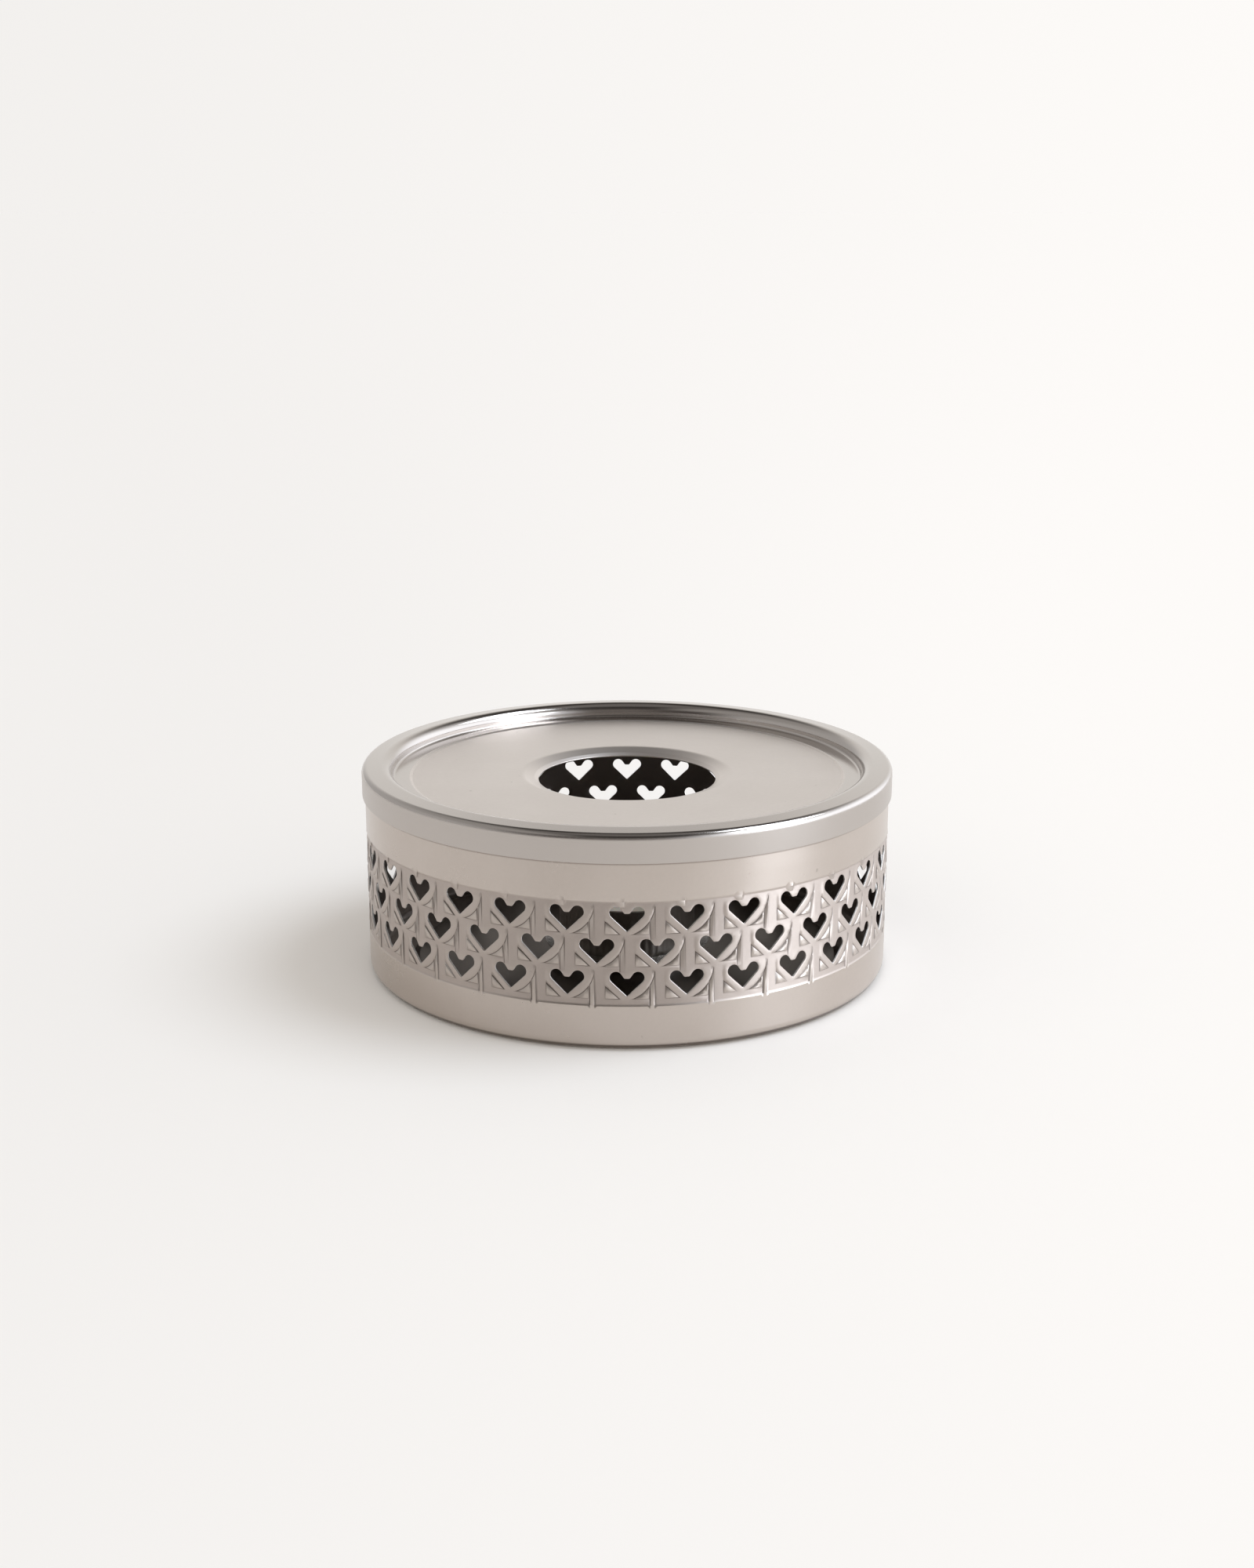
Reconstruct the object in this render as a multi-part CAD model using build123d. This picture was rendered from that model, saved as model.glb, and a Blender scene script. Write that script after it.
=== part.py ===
"""Pierced-heart tealight warmer: a drawn drum, a lift-off pot-rest lid, a holder and a tealight.

Millimetres, +Z up, origin at the middle of the base, front towards -Y.
"""
from build123d import *
import math
import os

# ---- driving dimensions -------------------------------------------------------------------
SHEET = 0.5                 # stainless sheet of the drum and the lid
GAP = 0.3                   # clearance between pieces that come apart

LID_R = 72.5                # outside of the lid skirt
SKIRT_LOW = 49.2            # lower edge of the lid skirt
SHOULDER_Z = 56.55          # where the faces of skirt and rim would meet
SHOULDER_R = 1.7            # rounding between them
RIM_IN_R = 64.4             # where the faces of rim and recess wall would meet
RIM_IN_Z = 57.4
RIM_ROLL = 2.8              # rounding between them
RECESS_R = 64.1             # foot of the recess wall
LEDGE_Z = 53.3              # narrow ledge round the pot rest
LEDGE_R = 59.6              # the ledge slopes from here down to the disc
DISC_R = 58.8               # pot-rest disc
DISC_Z = 53.0
DISH_R = 28.6               # where the disc starts to dish towards the heat hole
HOLE_R = 24.3               # heat hole in the middle of the lid
HOLE_Z = 51.3               # level of the edge of the heat hole

DRUM_R = LID_R - SHEET - GAP          # outside of the drum wall
DRUM_CORNER = 3.0                     # rounding at the foot of the drum
MOUTH_CORNER = 2.2                    # rounding of the drum's turned-in mouth
MOUTH_R = DRUM_R - MOUTH_CORNER
RIM_SLOPE = (RIM_IN_Z - SHOULDER_Z) / (LID_R - RIM_IN_R)
MOUTH_Z = SHOULDER_Z + (LID_R - MOUTH_R) * RIM_SLOPE - SHEET - GAP    # just under the lid rim
STAND_IN_R = 60.0                     # inner edge of the ring the drum stands on
PANEL_R = 58.0                        # raised floor panel
PANEL_RISE = 1.2

HEARTS = 30                 # hearts in each row
ROW_TIPS = (31.5, 23.1, 14.6)         # height of the heart tips, row by row
LOBE_R = 1.6
LOBE_X = 2.75
LOBE_Z = 4.9
NOTCH_HALF = 0.65
NOTCH_Z = 4.7

HOLDER_SHEET = 0.4
HOLDER_R = 20.2             # outside of the holder's upright wall
HOLDER_FLANGE_R = 23.0
HOLDER_HIGH = 4.0

CUP_R = 19.0                # standard tealight cup
CUP_LIP_R = 19.5
CUP_HIGH = 16.0
CUP_SHEET = 0.3
WAX_HIGH = 12.6
WICK_R = 0.7
WICK_HIGH = 18.2            # above the floor of the cup
FOOT_R = 6.0                # wick sustainer
FOOT_SHEET = 0.3
NECK_R = 1.3
NECK_HIGH = 3.0
FIT = 0.05                  # clearance of the small pieces inside the cup

FLOOR_TOP = PANEL_RISE + SHEET
CUP_Z = FLOOR_TOP + HOLDER_SHEET + GAP


# ---- sheet-metal sections -----------------------------------------------------------------
def unit(a, b):
    """Direction from a to b."""
    length = math.dist(a, b)
    return ((b[0] - a[0]) / length, (b[1] - a[1]) / length)


def offset_path(path, thick):
    """The path moved sideways by the sheet thickness, mitred at its corners."""
    moved = []
    for i, point in enumerate(path):
        before = unit(path[max(i - 1, 0)], path[max(i, 1)])
        after = unit(path[min(i, len(path) - 2)], path[min(i + 1, len(path) - 1)])
        nx = -(before[1] + after[1])
        nz = before[0] + after[0]
        cosine = 1 + before[0] * after[0] + before[1] * after[1]
        moved.append((point[0] + nx * thick / cosine, point[1] + nz * thick / cosine))
    return moved


def turn(path, i):
    """Positive where the path turns left at point i."""
    a = unit(path[i - 1], path[i])
    b = unit(path[i], path[i + 1])
    return a[0] * b[1] - a[1] * b[0]


def round_corner(face, point, radius):
    """Fillet the corner of a section that lies nearest to a point."""
    corner = min(face.vertices(), key=lambda v: math.dist((v.X, v.Y), point))
    return fillet(corner, radius)


def sheet_section(path, radii, thick):
    """Section of formed sheet: path is one face, the other lies to its left."""
    other = offset_path(path, thick)
    face = make_face(Polyline(*path, *reversed(other), close=True))
    for i, radius in radii.items():
        left = turn(path, i) > 0
        face = round_corner(face, path[i], radius + thick * left)
        face = round_corner(face, other[i], radius + thick * (not left))
    return face


def spin(section):
    """Turn a section (radius, height) round the upright axis."""
    return revolve(Plane.XZ * section, axis=Axis.Z)


def formed(path, radii, thick):
    return spin(sheet_section(path, radii, thick))


def disc(radius, low, high):
    return Pos(0, 0, low) * Cylinder(radius, high - low, align=(Align.CENTER, Align.CENTER, Align.MIN))


# ---- hearts -------------------------------------------------------------------------------
def tangent_point(start, side):
    """Where a line from start touches the lobe circle, on the given side of its centre."""
    dx = LOBE_X - start[0]
    dz = LOBE_Z - start[1]
    far = math.hypot(dx, dz)
    angle = math.atan2(dz, dx) + side * math.asin(LOBE_R / far)
    reach = math.sqrt(far ** 2 - LOBE_R ** 2)
    return (start[0] + reach * math.cos(angle), start[1] + reach * math.sin(angle))


def heart():
    """Heart with its tip at the origin: two lobes, straight sides and a blunt notch."""
    tip = (0, 0)
    notch = (NOTCH_HALF, NOTCH_Z)
    half = [tangent_point(tip, -1), (LOBE_X, LOBE_Z), tangent_point(notch, 1), notch]
    mirrored = [(-x, z) for x, z in reversed(half)]
    body = make_face(Polyline(tip, *half, *mirrored, close=True))
    return body + [Pos(x, LOBE_Z) * Circle(LOBE_R) for x in (-LOBE_X, LOBE_X)]


def heart_cutter(angle, tip_z):
    """Prism of one heart, driven outwards through the wall at an angle from the front."""
    out = (math.sin(angle), -math.cos(angle), 0)
    start = DRUM_R - 4
    plane = Plane(
        origin=(start * out[0], start * out[1], tip_z),
        x_dir=(math.cos(angle), math.sin(angle), 0),
        z_dir=out,
    )
    return extrude(plane * heart(), 8)


def heart_cutters():
    """Rows of hearts, every other row shifted by half a pitch."""
    step = 2 * math.pi / HEARTS
    places = [(i, row) for row in range(len(ROW_TIPS)) for i in range(HEARTS)]
    return [heart_cutter(step * (i + row % 2 / 2), ROW_TIPS[row]) for i, row in places]


# ---- pieces -------------------------------------------------------------------------------
def drum_shell():
    """One drawn cup: stepped floor, straight pierced wall, mouth turned inwards."""
    path = [
        (0, PANEL_RISE),
        (PANEL_R, PANEL_RISE),
        (STAND_IN_R, 0),
        (DRUM_R, 0),
        (DRUM_R, MOUTH_Z),
        (MOUTH_R - 0.4, MOUTH_Z),
    ]
    radii = {1: 0.6, 2: 0.6, 3: DRUM_CORNER - SHEET, 4: MOUTH_CORNER - SHEET}
    return formed(path, radii, SHEET) - heart_cutters()


def lid():
    """Pot-rest lid: skirt, raised rim, recessed disc and a dished heat hole."""
    path = [
        (LID_R, SKIRT_LOW),
        (LID_R, SHOULDER_Z),
        (RIM_IN_R, RIM_IN_Z),
        (RECESS_R, LEDGE_Z),
        (LEDGE_R, LEDGE_Z),
        (DISC_R, DISC_Z),
        (DISH_R, DISC_Z),
        (HOLE_R + 1.2, HOLE_Z + 0.7),
        (HOLE_R, HOLE_Z),
    ]
    radii = {1: SHOULDER_R - SHEET, 2: RIM_ROLL - SHEET, 3: 0.7, 6: 4.0}
    return formed(path, radii, SHEET)


def candle_holder():
    """Low pressed dish on the floor that keeps the tealight in the middle."""
    path = [
        (0, FLOOR_TOP),
        (HOLDER_R, FLOOR_TOP),
        (HOLDER_R, FLOOR_TOP + HOLDER_HIGH),
        (HOLDER_FLANGE_R, FLOOR_TOP + HOLDER_HIGH - 0.5),
    ]
    return formed(path, {1: 0.5, 2: 0.5}, HOLDER_SHEET)


def tealight_cup():
    """Thin drawn cup with a small turned-out lip."""
    top = CUP_Z + CUP_HIGH
    path = [
        (0, CUP_Z),
        (CUP_R, CUP_Z),
        (CUP_R, top),
        (CUP_LIP_R, top - 0.15),
    ]
    return formed(path, {1: 0.7}, CUP_SHEET)


def tealight_wax():
    """Cake of wax, hollow underneath for the sustainer and drilled for the wick."""
    low = CUP_Z + CUP_SHEET
    cake = disc(CUP_R - CUP_SHEET - 2 * FIT, low + FIT, low + WAX_HIGH)
    cake = fillet(cake.edges().group_by(Axis.Z)[0], 1.0)
    cake -= disc(FOOT_R + 0.2, low, low + FOOT_SHEET + 0.2)
    cake -= disc(NECK_R + 0.1, low, low + FOOT_SHEET + NECK_HIGH + 0.2)
    return cake - disc(WICK_R + FIT, low, low + WAX_HIGH + 1)


def wick():
    low = CUP_Z + CUP_SHEET + FOOT_SHEET + 0.1
    return fillet(disc(WICK_R, low, CUP_Z + WICK_HIGH).edges().group_by(Axis.Z)[-1], 0.3)


def wick_sustainer():
    """Small foot that holds the wick upright: a disc with a crimped neck."""
    low = CUP_Z + CUP_SHEET
    foot = disc(FOOT_R, low, low + FOOT_SHEET) + disc(NECK_R, low, low + FOOT_SHEET + NECK_HIGH)
    return foot - disc(WICK_R + FIT, low - 1, low + NECK_HIGH + 1)


PIECES = (drum_shell, lid, candle_holder, tealight_cup, tealight_wax, wick, wick_sustainer)

os.makedirs("parts", exist_ok=True)
for make in PIECES:
    export_step(Part() + make(), f"parts/{make.__name__}.step")
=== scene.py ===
"""Looks of the pierced-heart tealight warmer: a rebuilt drum, lid, holder and tealight.

Shapes are worked out in millimetres in the CAD frame and written to Blender in metres.
"""
import math
import bmesh
import bpy
import numpy as np
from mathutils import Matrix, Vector, geometry

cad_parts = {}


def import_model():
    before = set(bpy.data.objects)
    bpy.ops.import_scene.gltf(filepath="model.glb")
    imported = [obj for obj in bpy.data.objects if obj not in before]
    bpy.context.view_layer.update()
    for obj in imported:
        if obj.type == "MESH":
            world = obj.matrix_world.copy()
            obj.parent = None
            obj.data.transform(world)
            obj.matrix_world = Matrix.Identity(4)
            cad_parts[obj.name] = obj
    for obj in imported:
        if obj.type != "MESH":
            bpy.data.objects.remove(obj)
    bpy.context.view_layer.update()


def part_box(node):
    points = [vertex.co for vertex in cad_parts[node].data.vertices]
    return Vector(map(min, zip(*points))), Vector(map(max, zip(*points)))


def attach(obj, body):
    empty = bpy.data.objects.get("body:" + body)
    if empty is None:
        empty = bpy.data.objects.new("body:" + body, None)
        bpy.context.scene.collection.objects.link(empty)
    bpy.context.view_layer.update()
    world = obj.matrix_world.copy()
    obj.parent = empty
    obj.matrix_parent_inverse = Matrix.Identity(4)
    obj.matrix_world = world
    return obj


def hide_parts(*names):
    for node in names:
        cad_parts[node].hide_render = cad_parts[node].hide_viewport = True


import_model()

MM = 0.001


def edge(node, high, axis):
    """One side of a CAD node's box, in mm, to the nearest 0.05."""
    return round(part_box(node)[1 if high else 0][axis] / MM * 20) / 20


def colour(red, green, blue):
    return (red, green, blue, 1.0)


def scaled(tone, share):
    return colour(*(channel * share for channel in tone[:3]))


# ---- driving dimensions (mm) --------------------------------------------------------------
SHEET = 0.5
LID_R = 72.5
LID_TOP = edge("lid", True, 2)
SKIRT_LOW = edge("lid", False, 2)
SHOULDER_Z = LID_TOP - 0.55     # where the faces of skirt and rim would meet
SHOULDER_R = 1.7
RIM_IN_R = 64.4                 # where the faces of rim and recess wall would meet
RIM_IN_Z = LID_TOP + 0.3
RIM_ROLL = 2.8
RECESS_R = 64.1
LEDGE_Z = LID_TOP - 3.8
LEDGE_R = 59.6
DISC_R = 58.8
DISC_Z = LEDGE_Z - 0.3
DISH_R = 28.6
HOLE_R = 24.3
HOLE_Z = DISC_Z - 1.7

DRUM_R = LID_R - SHEET - 0.3
BORE_R = DRUM_R - SHEET
DRUM_TOP = edge("drum_shell", True, 2)
MOUTH_CORNER = 2.2
MOUTH_R = DRUM_R - MOUTH_CORNER
DRUM_CORNER = 3.0
STAND_IN_R = 60.0
PANEL_R = 58.0
PANEL_RISE = 1.2

HEARTS = 30
ROW_TIPS = (31.5, 23.1, 14.6)
PITCH = 2 * math.pi * DRUM_R / HEARTS
LOBE = (2.75, 4.9, 1.6)         # centre and radius of a lobe, from the tip
NOTCH = (0.65, 4.7)
BAND = (12.1, 39.3)             # embossed band
TILE = (11.0, 40.5)             # the part of the wall that is made of tiles
ACROSS = 10                     # divisions of a tile along its plain edges

PAD = 0.05                      # heights of the relief, from the plain wall
FIELD = -0.15
RIBBON = -0.04
GROOVE = -0.3
BEVEL = 0.13
PAD_LEFT = -5.4                 # limits of the pads, leaves, stubs and ribbons, from a heart's tip
PAD_RIGHT = 5.5
PAD_LOW = -0.65
CELL_TOP = 9.0
LEAF_TOP = 6.6
LEAF_BOX = (5.78, 6.9)
STUB_BOX = (-1.78, -0.6)
STUB_LOW = 6.35
RIBBON_LOW = -1.0
RIBBON_TOP = 6.9
LEAF = (-1.66, 7.31, 8.62)      # circle that the right ribbon and its leaf follow
HYP = ((PAD_LEFT, 2.5), (-1.9, PAD_LOW))     # straight edge under the left ribbon
OUTSIDE = -9.0                  # a depth that stands for nowhere near

EDGE_STEPS = (                  # cut edge of a heart, ring by ring: outline grown by, height from
    (0.10, 0.0),                # the embossed face (None: the bore)
    (0.03, -0.025),
    (0.0, -0.1),
    (0.0, -0.42),
    (0.05, None),
)

HOLDER_LOW = edge("candle_holder", False, 2)
HOLDER_R = 20.2
HOLDER_FLANGE_R = 23.0
HOLDER_SHEET = 0.4
CUP_LOW = edge("tealight_cup", False, 2)
CUP_TOP = edge("tealight_cup", True, 2)
CUP_R = 19.0
CUP_LIP_R = 19.5
CUP_SHEET = 0.3
WAX_TOP = edge("tealight_wax", True, 2)
WICK_LOW = edge("wick", False, 2)
WICK_TOP = edge("wick", True, 2)
WICK_R = 0.7
FOOT_LOW = edge("wick_sustainer", False, 2)
FOOT_R = 6.0
FOOT_SHEET = 0.3
NECK_R = 1.3

# ---- light levels and places (m) -------------------------------------------------------------
KEY_PLACE = (1.15, 0.06, 1.6)
KEY_TARGET = (0, 0, 0.03)
KEY_SINE = (KEY_PLACE[2] - KEY_TARGET[2]) / math.dist(KEY_PLACE, KEY_TARGET)    # of its angle up
SUN = 1.05
SUN_WIDTH = 36                  # degrees
SUN_TONE = (0.92, 1.0, 1.10)
PAPER = (0.895, 0.895, 0.895)
# painted light: the paper's tone darker on the left and brighter on the right, towards the key
PAPER_SHADED_LEFT, PAPER_LIT_RIGHT = 0.95, 1.05
SIDE = 0.35                     # how far to the side, of the distance, the paper goes on changing
ROOM = colour(0.80, 0.755, 0.705)
FROM_FRONT = 0.3                # how much more of the room's light comes from the front
FRONT_DIM = colour(0.20, 0.185, 0.175)
BACK_PALE = colour(0.98, 0.965, 0.94)
RIGHT_BRIGHT = colour(1.95, 2.05, 2.2)
LEFT_DARK = colour(0.10, 0.09, 0.085)
LEFT_GREY = colour(0.61, 0.605, 0.60)
CEILING = colour(0.055, 0.05, 0.047)
LEFT_CEILING = colour(0.46, 0.45, 0.44)
RIGHT_CEILING = colour(0.60, 0.60, 0.60)
OVERHEAD = colour(0.22, 0.21, 0.205)
SOFTBOX_POWER = 18
SOFTBOX_SIZE = (0.9, 0.9)
CARD_PLACE = (0.328, -0.192, 0.16)      # side card, just outside the picture to the right
CARD_TARGET = (0.03, -0.06, 0.05)
CARD_SIZE = (0.2, 0.32)
CARD_POWER = 0.6
EYE = (0.0, -0.5638, 0.2045)
EYE_DOWN = 15.37                        # how far the camera looks down, in degrees
LENS = 48.69
FLOOR_REACH = 40.0


# ---- sections -----------------------------------------------------------------------------
def unit(a, b):
    length = math.dist(a, b)
    return ((b[0] - a[0]) / length, (b[1] - a[1]) / length)


def shifted(path, thick, closed=False):
    """A path moved to its left by a distance, mitred at its corners."""
    count = len(path)
    moved = []
    for i, point in enumerate(path):
        last = path[i - 1] if closed or i else None
        following = path[(i + 1) % count] if closed or i < count - 1 else None
        before = unit(last, point) if last else unit(point, following)
        after = unit(point, following) if following else before
        nx = -(before[1] + after[1])
        ny = before[0] + after[0]
        size = 1 + before[0] * after[0] + before[1] * after[1]
        moved.append((point[0] + nx * thick / size, point[1] + ny * thick / size))
    return moved


def rounded(path, radii, steps=8):
    """A closed path with arcs in place of the corners listed in radii."""
    result = []
    for i, corner in enumerate(path):
        radius = radii.get(i)
        if not radius:
            result.append(corner)
            continue
        a = unit(corner, path[i - 1])
        b = unit(corner, path[(i + 1) % len(path)])
        half = math.acos(max(-1, min(1, a[0] * b[0] + a[1] * b[1]))) / 2
        reach = radius / math.tan(half)
        mid = (a[0] + b[0], a[1] + b[1])
        size = math.hypot(*mid)
        far = radius / math.sin(half)
        centre = (corner[0] + mid[0] / size * far, corner[1] + mid[1] / size * far)
        start = math.atan2(corner[1] + a[1] * reach - centre[1], corner[0] + a[0] * reach - centre[0])
        end = math.atan2(corner[1] + b[1] * reach - centre[1], corner[0] + b[0] * reach - centre[0])
        sweep = (end - start + math.pi) % (2 * math.pi) - math.pi
        for k in range(steps + 1):
            angle = start + sweep * k / steps
            across, up = radius * math.cos(angle), radius * math.sin(angle)
            result.append((centre[0] + across, centre[1] + up))
    return result


def filled(path, longest, closed=True):
    """Extra points along the straight runs, closer together near their ends."""
    result = []
    for i in range(len(path) if closed else len(path) - 1):
        a, b = path[i], path[(i + 1) % len(path)]
        length = math.dist(a, b)
        result.append(a)
        if length < 1.0:
            continue
        count = max(2, math.ceil(length / longest))
        places = [0.15 / length] + [k / count for k in range(1, count)] + [1 - 0.15 / length]
        result += [(a[0] + (b[0] - a[0]) * t, a[1] + (b[1] - a[1]) * t) for t in places]
    return result if closed else result + [path[-1]]


def sheet_loop(path, radii, thick, edge_round=0.12, steps=8):
    """Closed section of formed sheet, thick to the left of its path, with softened cut edges."""
    other = shifted(path, thick)
    count = len(path)
    loop = list(path) + other[::-1]
    arcs = {}
    for i, radius in radii.items():
        a = unit(path[i - 1], path[i])
        b = unit(path[i], path[i + 1])
        left = a[0] * b[1] - a[1] * b[0] > 0
        arcs[i] = radius + thick * left
        arcs[2 * count - 1 - i] = radius + thick * (not left)
    for i in (0, count - 1, count, 2 * count - 1):
        if loop[i][0] > 0.01:
            arcs[i] = min(edge_round, thick * 0.45)
    return rounded(loop, arcs, steps)


# ---- mesh building ------------------------------------------------------------------------
def mesh_piece(name, verts, faces, weld=0.002):
    """A smooth-shaded piece from points in mm."""
    mesh = bpy.data.meshes.new(name)
    mesh.from_pydata([Vector(v) * MM for v in verts], [], faces)
    build = bmesh.new()
    build.from_mesh(mesh)
    bmesh.ops.remove_doubles(build, verts=build.verts, dist=weld * MM)
    bmesh.ops.dissolve_degenerate(build, edges=build.edges, dist=weld * MM * 0.5)
    bmesh.ops.recalc_face_normals(build, faces=build.faces)
    build.to_mesh(mesh)
    build.free()
    mesh.shade_smooth()
    piece = bpy.data.objects.new(name, mesh)
    bpy.context.collection.objects.link(piece)
    return piece


def turned(path, segments, closed):
    """Points and faces of a path (radius, height) spun round the upright axis."""
    verts = []
    for k in range(segments):
        angle = 2 * math.pi * k / segments
        verts += [(r * math.sin(angle), -r * math.cos(angle), z) for r, z in path]
    count = len(path)
    faces = []
    for k in range(segments):
        here, there = k * count, (k + 1) % segments * count
        for i in range(count if closed else count - 1):
            j = (i + 1) % count
            faces.append((here + i, there + i, there + j, here + j))
    return verts, faces


def spun(name, path, segments):
    """A piece from a closed section."""
    return mesh_piece(name, *turned(path, segments, True))


def collect(parts):
    """Joins several (points, faces) into one."""
    verts, faces = [], []
    for more_verts, more_faces in parts:
        start = len(verts)
        verts += list(more_verts)
        faces += [tuple(start + i for i in face) for face in more_faces]
    return verts, faces


# ---- heart and relief outlines (x to the right, z up from the tip) --------------------------
def lobe_touch(start, side):
    """Where a line from start touches the right lobe."""
    dx, dz = LOBE[0] - start[0], LOBE[1] - start[1]
    far = math.hypot(dx, dz)
    angle = math.atan2(dz, dx) + side * math.asin(LOBE[2] / far)
    reach = math.sqrt(far ** 2 - LOBE[2] ** 2)
    return (start[0] + reach * math.cos(angle), start[1] + reach * math.sin(angle))


def heart_points():
    """Heart outline, anticlockwise from its tip."""
    low, high = lobe_touch((0, 0), -1), lobe_touch(NOTCH, 1)
    start = math.atan2(low[1] - LOBE[1], low[0] - LOBE[0])
    end = math.atan2(high[1] - LOBE[1], high[0] - LOBE[0])
    side = [(low[0] * t, low[1] * t) for t in (0.06, 0.3, 0.55, 0.8)]
    arc = [
        (LOBE[0] + LOBE[2] * math.cos(a), LOBE[1] + LOBE[2] * math.sin(a))
        for a in (start + (end - start) * k / 22 for k in range(23))
    ]
    flank = [(NOTCH[0] + 0.1, NOTCH[1] + 0.13), (NOTCH[0] - 0.12, NOTCH[1])]
    half = side + arc + flank
    return [(0, 0.08)] + half + [(0, NOTCH[1])] + [(-x, z) for x, z in reversed(half)]


HEART = heart_points()


def heart_outline(grow):
    return shifted(HEART, -grow, closed=True)


def leaf_x(z, grow):
    return LEAF[0] + math.sqrt((LEAF[2] + grow) ** 2 - (LEAF[1] - z) ** 2)


def leaf_z(x, grow):
    return LEAF[1] - math.sqrt(max(0.6, (LEAF[2] + grow) ** 2 - (x - LEAF[0]) ** 2))


HYP_DIR = unit(*HYP)


def hyp_distance(x, z):
    """Distance below the left ribbon's straight edge."""
    return (x - HYP[0][0]) * HYP_DIR[1] - (z - HYP[0][1]) * HYP_DIR[0]


def leaf_distance(x, z):
    """Distance outside the right ribbon's curved edge."""
    return np.hypot(x - LEAF[0], z - LEAF[1]) - LEAF[2]


def left_pad(d):
    """Triangle under the left ribbon, moved inwards by d."""
    x, z = PAD_LEFT + d, PAD_LOW + d
    slope = HYP_DIR[1] / HYP_DIR[0]
    drop = d / HYP_DIR[0]
    top = HYP[0][1] + slope * (x - HYP[0][0]) - drop
    right = HYP[0][0] + (z + drop - HYP[0][1]) / slope
    return [(x, z), (right, z), (x, top)]


def right_pad(d):
    """Triangle under the right ribbon: two straight edges and the ribbon's arc."""
    x, z = PAD_RIGHT - d, PAD_LOW + d
    start = leaf_x(z, d)
    return [(start, z), (x, z)] + [(u, leaf_z(u, d)) for u in np.linspace(x, start, 10)[:-1]]


def leaf(d, low):
    """Upright pointed leaf between the ribbon and the next cell."""
    left, right = LEAF_BOX[0] + d, LEAF_BOX[1] - d
    return [(left, low), (right, low)] + [(u, leaf_z(u, d)) for u in np.linspace(right, left, 6)]


def stub(d):
    """Short upright bar above a heart of the top row."""
    left, right = STUB_BOX[0] + d, STUB_BOX[1] - d
    return [(left, STUB_LOW + d), (right, STUB_LOW + d), (right, CELL_TOP), (left, CELL_TOP)]


def leaf_low(row):
    """Foot of a leaf, which reaches further down in the bottom row."""
    return -2.05 if row < len(ROW_TIPS) - 1 else -3.5


def cells():
    """(row, x, tip height) of each heart that lies in or across one tile."""
    found = []
    for row, tip in enumerate(ROW_TIPS):
        places = (0,) if row % 2 == 0 else (-PITCH / 2, PITCH / 2)
        found += [(row, x, tip) for x in places]
    return found


def raised_shapes(row, u, v):
    """Pads, leaf and stub of a cell: depth inside plain edges, depth inside the ribbon's edge."""
    out = leaf_distance(u, v)
    right = np.minimum(np.minimum(PAD_RIGHT - u, LEAF[1] - v), v - PAD_LOW)
    upright = np.minimum(np.minimum(LEAF_BOX[1] - u, CELL_TOP - v), v - leaf_low(row))
    shapes = [
        (np.minimum(u - PAD_LEFT, v - PAD_LOW), hyp_distance(u, v)),
        (right, np.where(u > 1.5, out, OUTSIDE)),
        (np.where(v < LEAF_TOP, upright, OUTSIDE), np.minimum(out, u - LEAF_BOX[0])),
    ]
    if row == 0:
        across = np.minimum(u - STUB_BOX[0], STUB_BOX[1] - u)
        shapes.append((np.minimum(across, v - STUB_LOW), CELL_TOP - v))
    return shapes


def ribbon_share(u, v):
    """How far a point of a cell belongs to the ribbons, from 0 to 1."""
    zone = np.minimum(np.minimum(u - PAD_LEFT, -hyp_distance(u, v)), -leaf_distance(u, v))
    zone = np.where((v > RIBBON_LOW) & (v < RIBBON_TOP), zone, OUTSIDE)
    fade = np.clip((v - RIBBON_LOW) / 0.8, 0, 1) * np.clip((RIBBON_TOP - v) / 1.6, 0, 1)
    return np.clip(zone / 0.2, 0, 1) * fade


def relief(x, z):
    """Height of the embossing at points of the tile, from the plain wall."""
    inside = np.full(x.shape, OUTSIDE)
    deep = np.zeros(x.shape)
    ribbon = np.zeros(x.shape)
    for row, centre, tip in cells():
        for turn in (-PITCH, 0, PITCH):
            u, v = x - centre - turn, z - tip
            for plain, by_ribbon in raised_shapes(row, u, v):
                depth = np.minimum(plain, by_ribbon)
                nearer = depth > inside
                deep = np.where(nearer, by_ribbon < plain, deep)
                inside = np.where(nearer, depth, inside)
            ribbon = np.maximum(ribbon, ribbon_share(u, v))
    base = FIELD + (RIBBON - FIELD) * ribbon
    foot = np.where(deep > 0, GROOVE, base - 0.04)
    height = np.where(
        inside >= 0,
        foot + (PAD - foot) * np.clip(inside / BEVEL, 0, 1),
        foot + (base - foot) * np.clip(-inside / 0.22, 0, 1),
    )
    into = np.clip(np.minimum(BAND[1] - z, z - BAND[0]) / BEVEL, 0, 1)
    return height * into


# ---- one tile of the wall -------------------------------------------------------------------
def tile_outlines(detailed, grow):
    """Closed outlines that the tile's triangles must follow."""
    hearts, lines = [], []
    for row, centre, tip in cells():
        hearts.append([(centre + x, tip + z) for x, z in heart_outline(grow)])
        if not detailed:
            continue
        for d in (BEVEL, 0.0, -0.2):
            shapes = [left_pad(d), right_pad(d), leaf(d, leaf_low(row))]
            if row == 0:
                shapes.append(stub(d))
            lines += [[(centre + x, tip + z) for x, z in shape] for shape in shapes]
        for x in (PAD_LEFT, PAD_LEFT + 0.2):
            lines.append([(centre + x, tip + z) for z in (2.6, 3.8, 5.0, 6.2)])
    wrapped = [[(x + PITCH * turn, z) for x, z in line] for line in lines for turn in (-1, 0, 1)]
    near = [line for line in wrapped if min(abs(x) for x, z in line) < PITCH / 2]
    return hearts, near


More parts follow.
